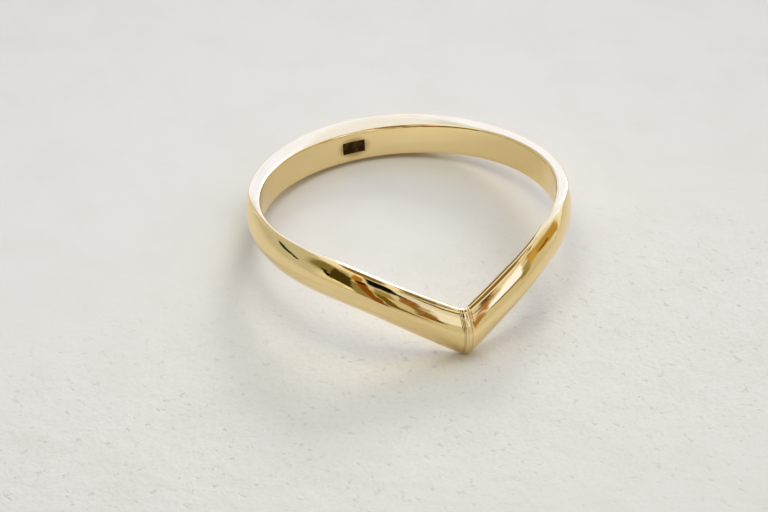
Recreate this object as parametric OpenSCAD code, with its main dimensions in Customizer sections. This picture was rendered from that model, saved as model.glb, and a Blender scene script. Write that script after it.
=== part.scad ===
// Plain polished chevron ring. It lies on a table as it was set down: the
// point of the V and the back of the band touch, and both sides are lifted.
// Millimetres. The point faces -Y and the table is z = 0.

/* [Finger hole] */
// Radius of the round part of the hole
hole_r = 8.65; // [7.4:0.05:10]
// How far the inner corner of the V lies outside that radius, as a share of it
point_out = 0.08; // [0.04:0.01:0.12]

/* [Chevron] */
// How far the top edge drops from the back of the band to the point
drop = 3.37; // [2:0.01:4.5]
// Angle round the band, from the point, at which an arm starts to drop
arm_angle = 43.9; // [36:0.1:52]
// Softness of the bend between the band and an arm
arm_bend = 0.385; // [0.2:0.005:0.6]
// Half width of the rounded ridge down the point, in degrees round the band
ridge_half = 1.1; // [1:0.1:4]

/* [Band] */
// Height at the back
back_h = 1.85; // [1.5:0.05:2.4]
// Upright height of the arms
arm_h = 2.5; // [2:0.05:3]
// Upright height at the point
tip_h = 2.85; // [2.4:0.05:3.4]
// Full thickness at the back
back_t = 1.5; // [1:0.05:1.6]
// Full thickness at the sides
side_t = 0.8; // [0.7:0.05:1]
// Full thickness at the arms and the point
front_t = 0.94; // [0.8:0.02:1.2]
// How much the outside of an arm swells between the side and the point
arm_swell = 0.14; // [0:0.01:0.2]
// How far the top edge rises at the very back
back_rise = 0.16; // [0:0.02:0.24]
// How much higher the outer edge of the rim stands than its inner edge at the very back
rim_lean = 0.32; // [0:0.02:0.4]
// Broken edge round both ends of the finger hole
edge_break = 0.14; // [0.08:0.02:0.2]
// Broken edge between the flat rim and the domed outside
rim_break = 0.05; // [0.03:0.01:0.08]

/* [Plain punched pad inside the back] */
// Length round the band
pad_w = 1.4; // [0.6:0.1:1.6]
// Height
pad_h = 0.75; // [0.3:0.05:0.8]
// Depth
pad_d = 0.1; // [0.06:0.02:0.14]
// Place round the band, in degrees from the middle of the back
pad_angle = -4; // [-15:1:15]

/* [Hidden] */
gold = [0.86, 0.66, 0.32];
half_stations = 64;
dome_steps = 14;
corner_steps = 5;
corner_r = 0.3;
reach_in = 0.3;
hole_len = 24;
// share of the thickness that is flat rim, at the front and behind the sides
rim_front = 0.33;
rim_back = 0.85;
// places round the band, in degrees from the point, where the sizes change over
point_end = 36;
front_end = 30;
// the flat rim was filed further forward on the right (+X) than on the left
rim_right = [42, 75];
rim_left = [86, 118];
lean_start = 120;
side = 90;
swell_end = 38;
taper_start = 40;
taper_end = 140;
// the inner and outer edges of the point are a little softer than its ridge
edge_soft = 1;
tangent = acos(1 / (1 + point_out));

function ease(x) = x <= 0 ? 0 : x >= 1 ? 1 : x * x * (3 - 2 * x);
function soft(a, w) = a >= w ? a : (a * a + w * w) / (2 * w);
function bend(v) = sqrt(v * v + arm_bend * arm_bend) + v;

// plan radius of the line that runs s outside the wall of the hole
function plan_r(a, s) = (hole_r + s) / cos(max(tangent - soft(a, ridge_half), 0));
function far_bend() = bend(1 - 180 / arm_angle);
function top_z(a) =
    back_rise * ease((a - side) / side)
    - drop * (bend(1 - soft(a, ridge_half + edge_soft) / arm_angle) - far_bend())
        / (bend(1) - far_bend());
function foot_h(a) =
    back_h
    + (arm_h - back_h) * ease((taper_end - a) / (taper_end - taper_start))
    + (tip_h - arm_h) * ease((point_end - a) / point_end);
function band_h(a) = foot_h(a) + back_rise * ease((a - side) / side);
function swell(a) = let (u = max(1 - a / swell_end, 0)) arm_swell * 6.75 * u * u * (1 - u);
function band_t(a) =
    side_t
    + (back_t - side_t) * ease((a - side) / side)
    + (front_t - side_t) * ease((side - a) / (side - front_end))
    + swell(a);
function rim_w(a) =
    let (part = a > 0 ? rim_right : rim_left, u = (abs(a) - part[0]) / (part[1] - part[0]))
    band_t(abs(a)) * (rim_front + (rim_back - rim_front) * ease(u));
function rim_up(a) = rim_lean / 2 * ease((a - lean_start) / (180 - lean_start));

// one upright slice through the band: [outward, up from the top edge], once round
function slice(a) =
    let (
        h = band_h(abs(a)), t = band_t(abs(a)), r = rim_w(a), in = edge_break + reach_in,
        up = rim_up(abs(a))
    )
    concat(
        [[-reach_in, in - h], [-reach_in, -in - up], [edge_break, -up], [r - rim_break, up]],
        [for (i = [0 : dome_steps])
            let (v = 1 - 2 * i / dome_steps)
            [r + (t - r) * (1 - v * v), (up - h) / 2 + ((up + h) / 2 - rim_break) * v]],
        [[r - rim_break, -h], [edge_break, -h]]
    );

// the stations lie closer together towards the point
function station(i) =
    let (t = abs(i) / half_stations)
    sign(i) * 180 * (0.2 * t + 0.8 * t * t);
stations = [for (i = [1 - half_stations : half_stations]) station(i)];
loop_n = len(slice(0));
ring_n = len(stations);

function placed(a, q) =
    let (m = abs(a), r = plan_r(m, q[0]))
    [r * sin(a), -r * cos(a), q[1] + top_z(m)];
skin = [for (a = stations) each [for (q = slice(a)) placed(a, q)]];

// both feet on the table: the inner edge of the point and the outer edge of the back
foot_front = [-plan_r(0, edge_break), top_z(0) - band_h(0)];
foot_back = [plan_r(180, rim_w(180) - rim_break), -foot_h(180)];
tilt = atan((foot_back[1] - foot_front[1]) / (foot_back[0] - foot_front[0]));
function tilted_y(q) = q[1] * cos(tilt) + q[2] * sin(tilt);
function tilted_z(q) = q[2] * cos(tilt) - q[1] * sin(tilt);
tilted_ys = [for (q = skin) tilted_y(q)];
tilted_zs = [for (q = skin) tilted_z(q)];

module blank() {
    at = function (i, j) (i % ring_n) * loop_n + (j % loop_n);
    polyhedron(
        points = skin,
        faces = [for (i = [0 : ring_n - 1], j = [0 : loop_n - 1])
            each [[at(i, j), at(i + 1, j), at(i + 1, j + 1)],
                  [at(i, j), at(i + 1, j + 1), at(i, j + 1)]]]
    );
}

// round hole with a wedge towards the point, its corner slightly rounded
module finger_hole() {
    corner_y = -hole_r * (1 + point_out) + corner_r / cos(tangent);
    translate([0, 0, -hole_len / 2]) {
        cylinder(r = hole_r, h = hole_len, $fn = 180);
        linear_extrude(hole_len)
            polygon(concat(
                [[0, 0], [hole_r * sin(tangent), -hole_r * cos(tangent)]],
                [for (i = [0 : corner_steps])
                    let (a = tangent * (1 - 2 * i / corner_steps))
                    [corner_r * sin(a), corner_y - corner_r * cos(a)]],
                [[-hole_r * sin(tangent), -hole_r * cos(tangent)]]
            ));
    }
}

module pad() {
    rotate([0, 0, -pad_angle])
        translate([-pad_w / 2, hole_r - pad_d, back_rise - (band_h(180) + rim_up(180) + pad_h) / 2])
            cube([pad_w, pad_d * 2, pad_h]);
}

module band() {
    color(gold)
        translate([0, -(min(tilted_ys) + max(tilted_ys)) / 2, -min(tilted_zs)])
            rotate([-tilt, 0, 0])
                difference() {
                    blank();
                    finger_hole();
                    pad();
                }
}

band();
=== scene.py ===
# %% [markdown]
# # A polished gold chevron ring
#
# The ring on the table is one piece of gold: a slim band that bends down to a
# point, so that it looks like a V from the front. A goldsmith forges round wire
# to a domed section, bends it, solders it shut and polishes it. This lesson
# goes the same way: a round wire is spun once round, pressed to the section of
# the band and bent to the V. Then come the gold, the table and the light.

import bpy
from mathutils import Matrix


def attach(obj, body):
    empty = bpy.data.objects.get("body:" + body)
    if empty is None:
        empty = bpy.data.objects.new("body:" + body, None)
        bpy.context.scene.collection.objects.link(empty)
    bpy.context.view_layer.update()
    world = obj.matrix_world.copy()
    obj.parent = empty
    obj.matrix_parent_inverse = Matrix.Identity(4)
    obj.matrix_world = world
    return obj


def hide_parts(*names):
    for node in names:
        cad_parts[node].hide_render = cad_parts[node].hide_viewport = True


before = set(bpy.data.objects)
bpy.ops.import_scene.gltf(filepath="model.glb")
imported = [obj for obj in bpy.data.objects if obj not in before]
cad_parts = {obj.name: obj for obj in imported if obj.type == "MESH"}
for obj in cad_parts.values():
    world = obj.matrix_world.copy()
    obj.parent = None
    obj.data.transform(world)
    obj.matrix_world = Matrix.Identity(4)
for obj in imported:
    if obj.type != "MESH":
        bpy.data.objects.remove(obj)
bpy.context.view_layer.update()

# %% Modules
import math

import bmesh
import bpy
from mathutils import Matrix, Vector

MM = 0.001

# %% [markdown]
# ## The camera
#
# The photograph was taken with a long lens from about 25 cm, 26 degrees above
# the plane of the band and 17 degrees to the left of its point. The band leans
# 12.5 degrees on the table, so above the table the camera stands higher. It is
# easiest to place the camera in the band's own frame and to turn the result
# with the band.

# %% The band's own frame
lean = math.radians(12.5233)
band_place = Matrix.Translation((0, 0.6655 * MM, 3.9472 * MM)) @ Matrix.Rotation(-lean, 4, "X")
print("middle of the hole:", [round(c / MM, 2) for c in band_place.translation])

# %% Place the camera
picture_w, picture_h, film_mm = 768, 512, 36


def aim(azimuth, elevation, roll, distance, focal_px, centre_px):
    """A camera round the band, with the middle of the hole at centre_px of the picture."""
    a, e, r = (math.radians(x) for x in (azimuth, elevation, roll))
    back = Vector((-math.sin(a) * math.cos(e), -math.cos(a) * math.cos(e), math.sin(e)))
    level = Vector((math.cos(a), -math.sin(a), 0))
    above = back.cross(level)
    right = math.cos(r) * level + math.sin(r) * above
    up = back.cross(right)
    turn = Matrix((right, up, back)).transposed()
    seen = Vector((centre_px[0] - picture_w / 2, picture_h / 2 - centre_px[1], -focal_px))
    turn = turn @ seen.rotation_difference(Vector((0, 0, -1))).to_matrix()
    data = bpy.data.cameras.new("camera")
    data.sensor_width = film_mm
    data.lens = focal_px / picture_w * film_mm
    data.clip_start, data.clip_end = 0.01, 10
    camera = bpy.data.objects.new("camera", data)
    bpy.context.scene.collection.objects.link(camera)
    camera.matrix_world = band_place @ Matrix.Translation(back * distance) @ turn.to_4x4()
    bpy.context.scene.camera = camera
    return camera


camera = aim(azimuth=17.0, elevation=26.1, roll=-3.4, distance=0.25, focal_px=4285,
             centre_px=(408.0, 189.4))
towards_camera = (camera.matrix_world.translation - band_place.translation).normalized()
camera_up = math.degrees(math.asin(towards_camera.z))
print("lens:", round(camera.data.lens), "mm, above the table:", round(camera_up, 1), "degrees")

# %% [markdown]
# ## The shape of the band
#
# Every upright cut through the band has the same make: a flat inside, a flat
# rim above and below, and a domed outside. Only the sizes change on the way
# round. `cut` gives one such cut as a closed row of points, each with its
# distance outward from the wall of the hole and its height above the top edge.
# The sizes are the ones the solid was made from: a name in _h is a height, one
# in _t a thickness, and the rim's shares are parts of the thickness. Angles run
# round the band from the point of the V.
#
# The flat rim is widest at the back and narrow in front, and the file took it
# further forward on the right than on the left. Behind, it slopes inwards by a
# third of a millimetre, and the polishing wheel leaves it slightly crowned.

# %% Sizes, in millimetres and degrees
hole_r, point_out, drop = 8.65, 0.08, 3.37
arm_angle, arm_bend, arm_swell, ridge_half = 43.9, 0.385, 0.14, 1.1
back_h, arm_h, tip_h, back_rise = 1.85, 2.5, 2.85, 0.16
back_t, side_t, front_t = 1.5, 0.8, 0.94
rim_lean, crown = 0.32, 0.025
rim_front, rim_back = 0.33, 0.85
inner_round, back_round, arm_round = 0.13, 0.07, 0.105
tangent = math.degrees(math.acos(1 / (1 + point_out)))
print("the wall of the hole runs straight up to", round(tangent, 1), "degrees from the point")

# %% Where the sizes change over, in degrees round the band from the point
quarter, half_turn = 90, 180
point_end, front_end, swell_end = 36, 30, 38
taper_start, taper_end = 40, 140
lean_start = 120
soft_rim_end, soft_rim_start = 70, 105
rim_left, rim_right = (86, 118), (42, 75)
edge_soft = 1


# %% How the sizes change round the band
def ease(x):
    x = min(max(x, 0), 1)
    return x * x * (3 - 2 * x)


def soft(a, w):
    """The angle a, with its sharp turn at 0 rounded over w degrees."""
    return a if a >= w else (a * a + w * w) / (2 * w)


def bend(v):
    return math.hypot(v, arm_bend) + v


def backward(a):
    """0 up to the side of the band, 1 at the middle of its back."""
    return ease((a - quarter) / quarter)


def top_z(a):
    """Height of the top edge at a degrees from the point."""
    far = bend(1 - half_turn / arm_angle)
    fall = (bend(1 - soft(a, ridge_half + edge_soft) / arm_angle) - far) / (bend(1) - far)
    return back_rise * backward(a) - drop * fall


def plan_r(a, s):
    """Distance from the axis of a line that runs s outside the wall of the hole."""
    return (hole_r + s) / math.cos(math.radians(max(tangent - soft(a, ridge_half), 0)))


def swell(a):
    """How much an arm swells; the factor makes arm_swell the most of it."""
    u = max(1 - a / swell_end, 0)
    return arm_swell * 27 / 4 * u * u * (1 - u)


def sizes(angle):
    """Height, thickness, rim width and rim lean at an angle from the point, right of it if above 0."""
    a = abs(angle)
    h = back_h + back_rise * backward(a)
    h += (arm_h - back_h) * ease((taper_end - a) / (taper_end - taper_start))
    h += (tip_h - arm_h) * ease((point_end - a) / point_end)
    t = side_t + (back_t - side_t) * backward(a) + swell(a)
    t += (front_t - side_t) * ease((quarter - a) / (quarter - front_end))
    start, end = rim_right if angle > 0 else rim_left
    r = t * (rim_front + (rim_back - rim_front) * ease((a - start) / (end - start)))
    return h, t, r, rim_lean / 2 * ease((a - lean_start) / (half_turn - lean_start))


# %% One cut through the band
def cut(angle, dome=28, flat=10, wall=8, turn=6):
    """Closed row of (outward, up) round the section at an angle from the point."""
    h, t, r, up = sizes(angle)
    q = inner_round
    softer = ease((soft_rim_start - abs(angle)) / (soft_rim_start - soft_rim_end))
    rim_round = back_round + (arm_round - back_round) * softer
    start = 1 - 2 * rim_round / h
    corner = (math.pi / 2 * i / turn for i in range(turn))
    half = [(q - q * math.cos(f), -q + q * math.sin(f)) for f in corner]
    half += [(q + (r - rim_round - q) * i / flat, 0) for i in range(flat)]
    p0, p1 = (r - rim_round, 0), (r, 0)
    p2 = (r + (t - r) * (1 - start * start), -h / 2 + h / 2 * start)
    for f in (i / turn for i in range(turn)):
        w0, w1, w2 = (1 - f) ** 2, 2 * f * (1 - f), f * f
        half.append((w0 * p0[0] + w1 * p1[0] + w2 * p2[0], w0 * p0[1] + w1 * p1[1] + w2 * p2[1]))
    row = [(s, z + up * (2 * s / r - 1) + crown * 4 * s * (1 - s / r)) for s, z in half]
    row += [
        (r + (t - r) * (1 - v * v), (up - h) / 2 + (up + h) / 2 * v)
        for v in (start * (1 - 2 * i / dome) for i in range(dome + 1))
    ]
    row += [(s, -h - z) for s, z in reversed(half)]
    foot, head = -h + q, -q - up
    return row + [(0, foot + (head - foot) * i / wall) for i in range(1, wall)]


print("points in one cut:", len(cut(0)))

# %% [markdown]
# ## Spin the wire, then press and bend it
#
# A small circle stands for the wire. `spin` carries it once round and closes
# it, and every point keeps its number on the circle in a layer. Then each
# point moves to its place in the cut at its angle. The cuts lie closer
# together at the point of the V, where the ridge turns in a few tenths of a
# millimetre: a mirror finish shows every facet.

# %% Spin the wire
wire_r, wire_way, cuts = 0.5 * MM, 9 * MM, 400
mesh = bmesh.new()
place_in_cut = mesh.verts.layers.int.new("place")
wire = bmesh.ops.create_circle(mesh, cap_ends=False, radius=wire_r, segments=len(cut(0)))["verts"]
stand_up = Matrix.Rotation(math.pi / 2, 3, "X")
bmesh.ops.rotate(mesh, verts=mesh.verts, cent=(0, 0, 0), matrix=stand_up)
bmesh.ops.translate(mesh, verts=mesh.verts, vec=(wire_way, 0, 0))
for number, vert in enumerate(wire):
    vert[place_in_cut] = number
bmesh.ops.spin(mesh, geom=mesh.verts[:] + mesh.edges[:], cent=(0, 0, 0), axis=(0, 0, 1),
               angle=2 * math.pi, steps=cuts, use_merge=True)
print("wire:", len(mesh.verts), "points,", len(mesh.faces), "faces")


# %% Press it to the section and bend it to the V
evenly = 0.2


def crowd(a):
    """The same turn with its stations drawn towards the point of the V."""
    share = abs(a) / half_turn
    return math.copysign(half_turn * share * (evenly + (1 - evenly) * share), a)


section = {}
for vert in mesh.verts:
    a = math.degrees(math.atan2(vert.co.x, -vert.co.y))
    key = round(a, 3)
    if key not in section:
        section[key] = cut(crowd(key))
    turned = crowd(a)
    outward, up = section[key][vert[place_in_cut]]
    radius, around = plan_r(abs(turned), outward), math.radians(turned)
    at = Vector((radius * math.sin(around), -radius * math.cos(around), up + top_z(abs(turned))))
    vert.co = at * MM
bmesh.ops.recalc_face_normals(mesh, faces=mesh.faces)
if mesh.calc_volume(signed=True) < 0:
    bmesh.ops.reverse_faces(mesh, faces=mesh.faces)
print("sections:", len(section), "volume, mm3:", round(mesh.calc_volume() / MM**3, 1))

# %% [markdown]
# ## The punched pad
#
# Makers strike a small mark inside the back of a ring. This ring carries
# nothing to read, so its place holds a plain punched pad, dark with old
# polish. Four cuts mark its outline on the wall, and the inset sinks it. The
# soft stain that the polish leaves round it is part of the gold's colour.

# %% Punch the pad
pad_w, pad_h, pad_d, pad_draft = 1.4 * MM, 0.75 * MM, 0.1 * MM, 0.05 * MM
pad_turn = Matrix.Rotation(math.radians(4), 3, "Z")
back_h_here, _, _, back_lean = sizes(half_turn)
pad_middle = Vector((0, hole_r, top_z(half_turn) - (back_h_here + back_lean) / 2)) * MM
cut_reach_x, cut_reach_z, wall_slack = 1.3 * MM, 0.65 * MM, 0.02 * MM
mesh.normal_update()


def on_wall(face, reach_x, reach_z):
    """Whether a face of the hole's wall lies within reach of the middle of the pad."""
    at = pad_turn.inverted() @ face.calc_center_median()
    facing = pad_turn.inverted() @ face.normal
    level = abs(at.x) < reach_x and abs(at.z - pad_middle.z) < reach_z
    return level and 0 < at.y < pad_middle.y + wall_slack and facing.y < -0.9


for x, z in ((1, 0), (-1, 0), (0, 1), (0, -1)):
    near = [f for f in mesh.faces if on_wall(f, cut_reach_x, cut_reach_z)]
    touched = {e for f in near for e in f.edges} | {v for f in near for v in f.verts}
    at = pad_turn @ (pad_middle + Vector((x * pad_w, 0, z * pad_h)) / 2)
    bmesh.ops.bisect_plane(mesh, geom=near + list(touched), dist=1e-8, plane_co=at,
                           plane_no=pad_turn @ Vector((x, 0, z)))
pad = [f for f in mesh.faces if on_wall(f, pad_w / 2, pad_h / 2)]
sides = bmesh.ops.inset_region(mesh, faces=pad, thickness=pad_draft, depth=-pad_d,
                               use_even_offset=True)["faces"]
pad_at = band_place @ (pad_turn @ pad_middle)
print("pad:", len(pad), "faces, sides:", len(sides))

# %% Hand it to the scene
for vert in mesh.verts:
    vert.co = band_place @ vert.co
for face in mesh.faces:
    face.smooth = True
for face in pad + sides:
    face.material_index = 1
data = bpy.data.meshes.new("polished_band")
mesh.to_mesh(data)
mesh.free()
band = bpy.data.objects.new("polished_band", data)
bpy.context.scene.collection.objects.link(band)
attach(band, "root")
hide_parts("band")
print("triangles:", sum(len(p.vertices) - 2 for p in data.polygons))

# %% [markdown]
# ## Helpers for materials
#
# A few lines save typing. They add a node and set its values, join a socket to
# an output or set it to a plain value, mix two colours, and make a node group
# with named sockets.

# %% Helpers for nodes
def feed(tree, term, socket):
    """Joins a socket to an output, or sets it to a number or a colour."""
    if isinstance(term, bpy.types.NodeSocket):
        tree.links.new(term, socket)
    elif socket.type == "RGBA":
        socket.default_value = (*term, 1)
    else:
        socket.default_value = term


def add(tree, kind, terms=None, **settings):
    node = tree.nodes.new(kind)
    for name, value in settings.items():
        setattr(node, name, value)
    for name, term in (terms or {}).items():
        feed(tree, term, node.inputs[name])
    return node


def math_node(tree, operation, *terms):
    node = add(tree, "ShaderNodeMath", operation=operation)
    for socket, term in zip(node.inputs, terms):
        feed(tree, term, socket)
    return node.outputs[0]


def span(tree, value, low, high, to_low=0.0, to_high=1.0):
    """Map Range with smooth ends."""
    ends = {"Value": value, "From Min": low, "From Max": high, "To Min": to_low, "To Max": to_high}
    return add(tree, "ShaderNodeMapRange", ends, interpolation_type="SMOOTHSTEP").outputs["Result"]


def noise(tree, coords, scale, detail, roughness, distortion=0.0):
    terms = {"Vector": coords, "Scale": scale, "Detail": detail, "Roughness": roughness,
             "Distortion": distortion}
    return add(tree, "ShaderNodeTexNoise", terms).outputs["Fac"]


def mix(tree, share, first, second, **settings):
    """The first colour with a share of the second in it."""
    node = add(tree, "ShaderNodeMix", data_type="RGBA", **settings)
    for number, term in ((0, share), (6, first), (7, second)):
        feed(tree, term, node.inputs[number])
    return node.outputs[2]


# %% Helpers for groups and materials
def group(name, inputs, outputs):
    tree = bpy.data.node_groups.new(name, "ShaderNodeTree")
    for label, kind, value in inputs:
        socket = tree.interface.new_socket(label, in_out="INPUT", socket_type=kind)
        if value is not None:
            socket.default_value = value
    for label, kind in outputs:
        tree.interface.new_socket(label, in_out="OUTPUT", socket_type=kind)
    return tree, tree.nodes.new("NodeGroupInput").outputs, tree.nodes.new("NodeGroupOutput").inputs


def material(name):
    """A new material, its tree, the sockets of its shader, and the place on the object."""
    made = bpy.data.materials.new(name)
    made.use_nodes = True
    tree = made.node_tree
    where = add(tree, "ShaderNodeTexCoord").outputs["Object"]
    return made, tree, tree.nodes["Principled BSDF"].inputs, where


# %% [markdown]
# ## Gold
#
# Fourteen carat yellow gold is a pale, warm metal. All its looks come from
# what it mirrors, so the colour is simple and the surface matters: a buffed
# ring is never quite even, so its reflections waver a little, and a fine haze
# of polishing lines widens the highlights here and there. The wheel rides over
# the ridge of the V without reaching its foot, so a few upright file lines stay
# there, with a crease on both sides. Painted shade darkens the gold in the
# creases and in the grooves of the file lines.

# %% Polish, as a group
polish, given, taken = group(
    "polish",
    [("Coordinates", "NodeSocketVector", None), ("Waver", "NodeSocketFloat", 1.0),
     ("Haze", "NodeSocketFloat", 1.0)],
    [("Height", "NodeSocketFloat"), ("Roughness", "NodeSocketFloat"), ("Tone", "NodeSocketFloat")],
)
broad = noise(polish, given["Coordinates"], scale=380, detail=1.5, roughness=0.45)
hammer = noise(polish, given["Coordinates"], scale=1300, detail=1.0, roughness=0.4)
stretch = add(polish, "ShaderNodeMapping", {"Vector": given["Coordinates"], "Scale": (1.0, 1.0, 9.0)})
lines = noise(polish, stretch.outputs["Vector"], scale=2600, detail=4.0, roughness=0.6)
height = math_node(polish, "MULTIPLY_ADD", broad, 5.0, math_node(polish, "MULTIPLY", hammer, 0.35))
height = math_node(polish, "MULTIPLY_ADD", lines, 0.012, height)
feed(polish, math_node(polish, "MULTIPLY", height, given["Waver"]), taken["Height"])
haze = math_node(polish, "MULTIPLY", span(polish, lines, 0.35, 0.75), given["Haze"])
smoothest, haze_adds = 0.05, 0.05
feed(polish, math_node(polish, "MULTIPLY_ADD", haze, haze_adds, smoothest), taken["Roughness"])
feed(polish, span(polish, broad, 0.3, 0.7), taken["Tone"])

# %% File lines on the ridge, as a group
ridge, given, taken = group(
    "ridge_lines", [("Coordinates", "NodeSocketVector", None), ("Depth", "NodeSocketFloat", 1.0)],
    [("Height", "NodeSocketFloat"), ("Painted shade", "NodeSocketFloat")],
)
ridge_x, ridge_front_y, crease_x, crease_w = -0.05 * MM, -8.5 * MM, 0.24 * MM, 0.06 * MM
spot = add(ridge, "ShaderNodeSeparateXYZ", {"Vector": given["Coordinates"]}).outputs
aside = math_node(ridge, "ABSOLUTE", math_node(ridge, "SUBTRACT", spot["X"], ridge_x))
near = span(ridge, aside, 0.23 * MM, 0.34 * MM, 1.0, 0.0)
in_front = span(ridge, spot["Y"], ridge_front_y, ridge_front_y + 0.5 * MM, 1.0, 0.0)
on_ridge = math_node(ridge, "MULTIPLY", near, in_front)
line_scale = (6500.0, 90.0, 160.0)
upright = add(ridge, "ShaderNodeMapping", {"Vector": given["Coordinates"], "Scale": line_scale})
filed = noise(ridge, upright.outputs["Vector"], scale=1.0, detail=2.0, roughness=0.5)
from_crease = math_node(ridge, "ABSOLUTE", math_node(ridge, "SUBTRACT", aside, crease_x))
crease = span(ridge, from_crease, 0.0, crease_w, 1.0, 0.0)
worn = math_node(ridge, "MULTIPLY_ADD", crease, -0.4, filed)
cut_in = math_node(ridge, "MULTIPLY", worn, on_ridge)
# Painted shade: the mask of the creases and the grooves of the file lines, where the gold is darkened.
painted_shade = math_node(ridge, "MAXIMUM", crease, span(ridge, filed, 0.34, 0.44, 1.0, 0.0))
feed(ridge, math_node(ridge, "MULTIPLY", painted_shade, on_ridge), taken["Painted shade"])
feed(ridge, math_node(ridge, "MULTIPLY", cut_in, given["Depth"]), taken["Height"])

# %% The gold itself
cool_gold, warm_gold = (0.895, 0.70, 0.355), (0.925, 0.73, 0.38)
painted_crease_shade, file_depth, old_polish = (0.30, 0.17, 0.05), 5.0, (0.33, 0.20, 0.07)
gold, tree, shader, where = material("polished_gold")
shader["Metallic"].default_value = 1
buffed = add(tree, "ShaderNodeGroup", node_tree=polish)
filed = add(tree, "ShaderNodeGroup", node_tree=ridge)
for surface in (buffed, filed):
    feed(tree, where, surface.inputs["Coordinates"])
filed.inputs["Depth"].default_value = file_depth
colour = mix(tree, buffed.outputs["Tone"], cool_gold, warm_gold)
# Painted shade: the creases and file-line grooves of the ridge are darkened in the colour.
colour = mix(tree, math_node(tree, "MULTIPLY", filed.outputs["Painted shade"], 0.45), colour, painted_crease_shade)
print("gold, from", cool_gold, "to", warm_gold)

# %% A soft stain round the pad
stain_reach = Vector((1.1, 0.6, 0.7)) * MM
from_pad = add(tree, "ShaderNodeMapping", {"Vector": where, "Location": -pad_at}, vector_type="POINT")
in_reaches = add(tree, "ShaderNodeVectorMath", operation="MULTIPLY")
feed(tree, from_pad.outputs[0], in_reaches.inputs[0])
in_reaches.inputs[1].default_value = [1 / reach for reach in stain_reach]
away = add(tree, "ShaderNodeVectorMath", operation="LENGTH")
feed(tree, in_reaches.outputs[0], away.inputs[0])
stain = span(tree, away.outputs["Value"], 0.55, 1.1, 0.75, 0.0)
feed(tree, mix(tree, stain, colour, old_polish), shader["Base Color"])

# %% The relief of the gold
feed(tree, buffed.outputs["Roughness"], shader["Roughness"])
relief = math_node(tree, "ADD", buffed.outputs["Height"], filed.outputs["Height"])
bump = add(tree, "ShaderNodeBump", {"Height": relief, "Strength": 1.0, "Distance": 0.006 * MM})
feed(tree, bump.outputs["Normal"], shader["Normal"])
band.data.materials.append(gold)
print("gold:", len(tree.nodes), "nodes")

# %% The dark pad
deep_grime, worn_grime = (0.035, 0.02, 0.007), (0.15, 0.095, 0.03)
dull, tree, shader, where = material("dark_pad")
shader["Metallic"].default_value = 1
grime = noise(tree, where, scale=3200, detail=3.0, roughness=0.6)
feed(tree, mix(tree, span(tree, grime, 0.4, 0.75), deep_grime, worn_grime), shader["Base Color"])
feed(tree, span(tree, grime, 0.3, 0.7, 0.45, 0.65), shader["Roughness"])
band.data.materials.append(dull)
print("pad:", len(tree.nodes), "nodes")

# %% [markdown]
# ## The table
#
# A pale, dry plaster with a fine grain, a few shallow knocks and soft dents,
# mottled very faintly. Grain and knocks show most just in front of the ring,
# where the photograph is sharp. The plaster fills the picture, and it is also
# what the lower half of the ring mirrors.

# %% Table
table_half = 1.5
mesh = bmesh.new()
bmesh.ops.create_grid(mesh, x_segments=1, y_segments=1, size=table_half)
table_data = bpy.data.meshes.new("table")
mesh.to_mesh(table_data)
mesh.free()
table = bpy.data.objects.new("table", table_data)
bpy.context.scene.collection.objects.link(table)

# %% Plaster: where it is rough, and its marks
plaster, tree, shader, where = material("pale_plaster")
along = add(tree, "ShaderNodeSeparateXYZ", {"Vector": where}).outputs["Y"]
fades_back = span(tree, along, -12 * MM, 4 * MM, 1.0, 0.06)
fades_front = span(tree, along, -26 * MM, -16 * MM, 0.4, 1.0)
rough_part = math_node(tree, "MULTIPLY", fades_back, fades_front)
grain = noise(tree, where, scale=3400, detail=2.0, roughness=0.5)
pits = noise(tree, where, scale=1500, detail=2.0, roughness=0.5)
marks = noise(tree, where, scale=1550, detail=2.0, roughness=0.5, distortion=0.15)
knocks = span(tree, marks, 0.62, 0.72)
dents = noise(tree, where, scale=650, detail=1.5, roughness=0.5, distortion=0.3)
cloudy = noise(tree, where, scale=240, detail=3.0, roughness=0.55)

# %% Plaster: colour
# Painted light: the plaster is tinted a little bluer towards the back, the cool tint of the light from
# behind.
back_tone, front_tone = (0.765, 0.755, 0.689), (0.765, 0.755, 0.665)
colour = mix(tree, span(tree, along, -30 * MM, 30 * MM, 1.0, 0.0), back_tone, front_tone)
for share, tint in (
    (math_node(tree, "MULTIPLY", span(tree, grain, 0.5, 0.75), rough_part), (0.95, 0.945, 0.93)),
    # Painted shade: the knocks are darkened in colour as well as sunk in the relief.
    (math_node(tree, "MULTIPLY", knocks, rough_part), (0.9, 0.89, 0.87)),
    (span(tree, cloudy, 0.42, 0.66), (0.975, 0.975, 0.965)),
):
    colour = mix(tree, share, colour, tint, blend_type="MULTIPLY")
feed(tree, colour, shader["Base Color"])
shader["Roughness"].default_value = 0.9
shader["Specular IOR Level"].default_value = 0.15

# %% Plaster: relief
grains = math_node(tree, "MULTIPLY", math_node(tree, "MULTIPLY_ADD", pits, 0.8, grain), 0.5)
relief = math_node(tree, "MULTIPLY_ADD", dents, 1.8, grains)
relief = math_node(tree, "MULTIPLY_ADD", knocks, -0.45, relief)
relief = math_node(tree, "MULTIPLY", relief, rough_part)
bump = add(tree, "ShaderNodeBump", {"Height": relief, "Strength": 0.5, "Distance": 0.1 * MM})
feed(tree, bump.outputs["Normal"], shader["Normal"])
table_data.materials.append(plaster)
print("plaster:", len(tree.nodes), "nodes")

# %% [markdown]
# ## The studio
#
# A mirror shows the whole room, so the room has to be made too. It is a pale
# room with a bright wall and a low window behind the ring, to the right. They
# light the rim and throw the soft shadows forward. The dark and brown shapes
# in the front of the ring are the side of the room where the camera stands.
# Here each of them is a soft card, drawn on the world by its direction:
# degrees round from the front, and degrees above the table. Each line of the
# lists below holds a card's name, its place, half its size, its soft edge, its
# colour, its lean and its slope.

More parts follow.
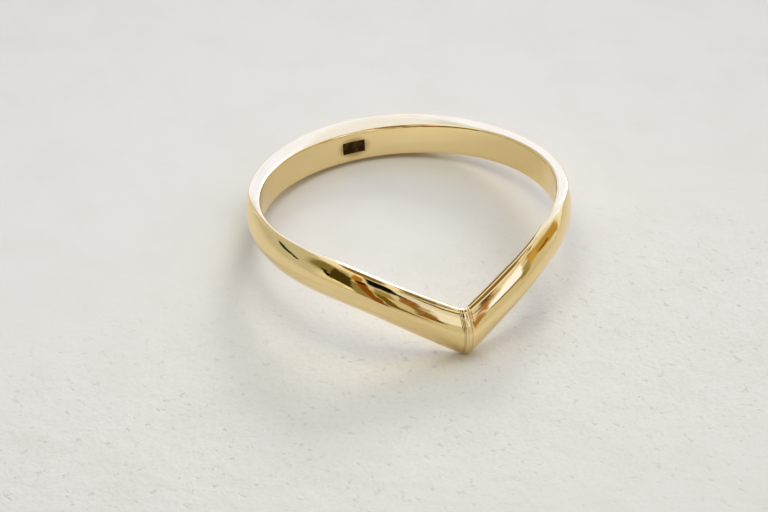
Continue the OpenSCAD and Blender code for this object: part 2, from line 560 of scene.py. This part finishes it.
# %% Direction of a ray in degrees
world = bpy.data.worlds.new("studio")
bpy.context.scene.world = world
world.use_nodes = True
tree = world.node_tree
degrees = 180 / math.pi
sight = add(tree, "ShaderNodeTexCoord").outputs["Generated"]
ray = add(tree, "ShaderNodeSeparateXYZ", {"Vector": sight}).outputs
front = math_node(tree, "MULTIPLY", ray["Y"], -1.0)
round_deg = math_node(tree, "MULTIPLY", math_node(tree, "ARCTAN2", ray["X"], front), degrees)
up_deg = math_node(tree, "MULTIPLY", math_node(tree, "ARCSINE", ray["Z"]), degrees)
sway = math_node(tree, "SUBTRACT", noise(tree, sight, scale=9.0, detail=2.0, roughness=0.5), 0.5)
sway_round, sway_up = 7.0, 5.0
round_deg = math_node(tree, "MULTIPLY_ADD", sway, sway_round, round_deg)
up_deg = math_node(tree, "MULTIPLY_ADD", sway, sway_up, up_deg)

# %% A soft card, as a group
card_terms = ("Round", "Up", "At round", "At up", "Half round", "Half up", "Edge", "Lean", "Slope")
card, given, taken = group(
    "card", [(name, "NodeSocketFloat", 0.0) for name in card_terms], [("Mask", "NodeSocketFloat")],
)
rise = math_node(card, "SUBTRACT", given["Up"], given["At up"])
turned = math_node(card, "SUBTRACT", given["Round"], given["At round"])
turned = math_node(card, "WRAP", turned, 180.0, -180.0)
across = math_node(card, "MULTIPLY_ADD", rise, given["Lean"], turned)
upward = math_node(card, "MULTIPLY_ADD", turned, given["Slope"], rise)
masks = []
for offset, half in ((across, given["Half round"]), (upward, given["Half up"])):
    inside = math_node(card, "SUBTRACT", half, math_node(card, "ABSOLUTE", offset))
    masks.append(span(card, inside, 0.0, given["Edge"]))
feed(card, math_node(card, "MULTIPLY", *masks), taken["Mask"])


# %% Hang a row of cards
def hang(under, cards):
    """Hangs cards, each in front of the ones before it."""
    for label, at, half, edge, rgb, lean, slope in cards:
        values = (round_deg, up_deg, *at, *half, edge, lean, slope)
        node = add(tree, "ShaderNodeGroup", node_tree=card, label=label)
        for name, value in zip(card_terms, values):
            feed(tree, value, node.inputs[name])
        under = mix(tree, node.outputs["Mask"], under, rgb)
    return under


# %% Walls, and the cards overhead and at the back
walls = mix(tree, span(tree, ray["Y"], -0.4, 0.5), (0.66, 0.63, 0.52), (1.1, 1.1, 1.05))
room = mix(tree, span(tree, up_deg, 40.0, 75.0), walls, (0.98, 0.95, 0.9))
room = hang(room, [
    ("lamp shade", (0, 90), (200, 17), 3, (0.23, 0.155, 0.07), 0, 0),
    ("back wall", (143, 27), (46, 23), 7, (1.04, 1.24, 2.15), 0, 0),
    ("back wall, upper part", (150, 47), (50, 17), 9, (0.96, 1.1, 1.75), 0, 0),
    ("curtain", (174, 27), (9.5, 12), 5, (0.76, 0.88, 1.25), 0, 0),
    ("window", (146, 23), (9.5, 9), 4, (20.5, 20, 19.3), 0, 0),
])

# %% The left side of the room
room = hang(room, [
    ("dim wall", (-119, 24), (38, 34), 7, (0.58, 0.58, 0.51), 0, 0),
    ("corner post", (-168, 27), (9, 20), 3, (0.33, 0.22, 0.12), 0, 0),
    ("dark shelf", (-117, 14.5), (14, 3), 2, (0.006, 0.005, 0.004), 0, 0),
    ("olive cupboard", (-76, 40), (31, 18), 12, (0.22, 0.19, 0.07), 0.1, -0.15),
    ("cupboard door", (-62, 33), (15, 18), 3, (0.065, 0.044, 0.006), 0.1, 0.1),
    ("open door's edge", (-77, 25), (4.2, 8), 1.5, (0.004, 0.003, 0.003), 0.8, 0),
    ("pale vase", (-76, 13), (4, 6), 2, (0.95, 0.88, 0.6), 0.9, 0),
    ("pale jar", (-65, 13.5), (5, 4), 2, (1, 1, 0.65), 0, 0),
    ("pale bowl", (-55, 8), (6, 5), 2, (1.05, 1, 0.75), 0, 0),
    ("door frame", (-46, 22), (5.5, 22), 2, (0.3, 0.24, 0.1), 0, 0),
])

# %% The front of the room, where the camera stands
room = hang(room, [
    ("wooden door", (-37, 24), (6.5, 28), 2, (0.24, 0.085, 0.004), 0.1, 0),
    ("top of the door", (-43, 55), (7, 8), 2, (0.45, 0.2, 0.01), -0.3, 0),
    ("gap over the door", (-40, 49), (7, 3.5), 1.5, (0.02, 0.004, 0.002), 0, -0.4),
    ("olive wall", (-24, 24), (7, 17), 2, (0.17, 0.11, 0.01), 0.1, 0),
    ("paler wall over it", (-18, 46), (11, 7), 2.5, (0.37, 0.29, 0.11), -0.2, 0),
    ("pale curtain", (10, 44), (9, 19), 2.5, (0.95, 1, 1.2), -0.62, 0),
    ("its second half", (25, 44), (9, 20), 3, (0.8, 0.82, 0.88), -0.1, 0),
    ("brown post", (-7.5, 31), (3.2, 14), 1.5, (0.27, 0.12, 0.006), -0.42, 0),
    ("curtain rail", (5.5, 51), (4, 8), 1.5, (0.3, 0.12, 0.01), -1.05, 0),
    ("tripod", (-8, 23), (1.8, 6), 1, (0.07, 0.05, 0.02), -0.2, 0),
    ("dark beam", (-9, 63), (22, 9), 2, (0.006, 0.005, 0.006), 0.1, 0),
])

# %% The right side of the room
room = hang(room, [
    ("brown cupboard", (76, 29), (21, 12), 4, (0.5, 0.33, 0.09), 0, 0.85),
    ("its lit corner", (62, 37), (7, 10), 3, (0.62, 0.4, 0.11), 0, 0),
    ("its dark door", (75, 25), (9, 5), 3, (0.24, 0.1, 0.006), 0, 0.5),
    ("olive wall", (53, 30), (5, 14), 2.5, (0.38, 0.32, 0.14), 0, 0),
    ("pale blind", (43, 44), (7, 12), 2, (1.25, 1.3, 2), -0.1, 0),
    ("sill under it", (46, 28), (7, 2.6), 1, (0.17, 0.14, 0.09), 0, 0.35),
    ("upright beam", (33, 30), (3, 26), 1.2, (0.4, 0.2, 0.03), 0, 0),
    ("gap in the beam", (34, 37), (1.2, 7), 1, (0.9, 0.95, 1.1), 0.25, 0),
    ("knot in the beam", (33, 60), (3.6, 6), 1.5, (0.2, 0.08, 0.008), 0, 0),
    ("its dark core", (32.3, 61.5), (2.6, 3.6), 1, (0.03, 0.01, 0.006), 0, 0),
    ("level beam", (75, 65), (28, 2.2), 1.2, (0.16, 0.11, 0.06), 0, 0.05),
])

# %% Light the world with it
background = tree.nodes["Background"].inputs
feed(tree, room, background["Color"])
background["Strength"].default_value = 1.0
bpy.context.scene.view_settings.view_transform = "Standard"
print("studio:", len(tree.nodes), "nodes")

# %% [markdown]
# ## A small soft lamp
#
# In the photograph the plaster near the ring is brighter than this room makes
# it, and every shadow is soft. A small disc of light 6 cm above the ring does
# that. The gold shows no image of it, so it is left out of the mirror images.

# %% A small soft lamp close over the ring
lamp_data = bpy.data.lights.new("soft_lamp", "AREA")
lamp_data.shape, lamp_data.size, lamp_data.energy = "DISK", 40 * MM, 0.0092
lamp = bpy.data.objects.new("soft_lamp", lamp_data)
lamp.location = (0, 0, 60 * MM)
lamp.visible_glossy = lamp.visible_camera = False
bpy.context.scene.collection.objects.link(lamp)
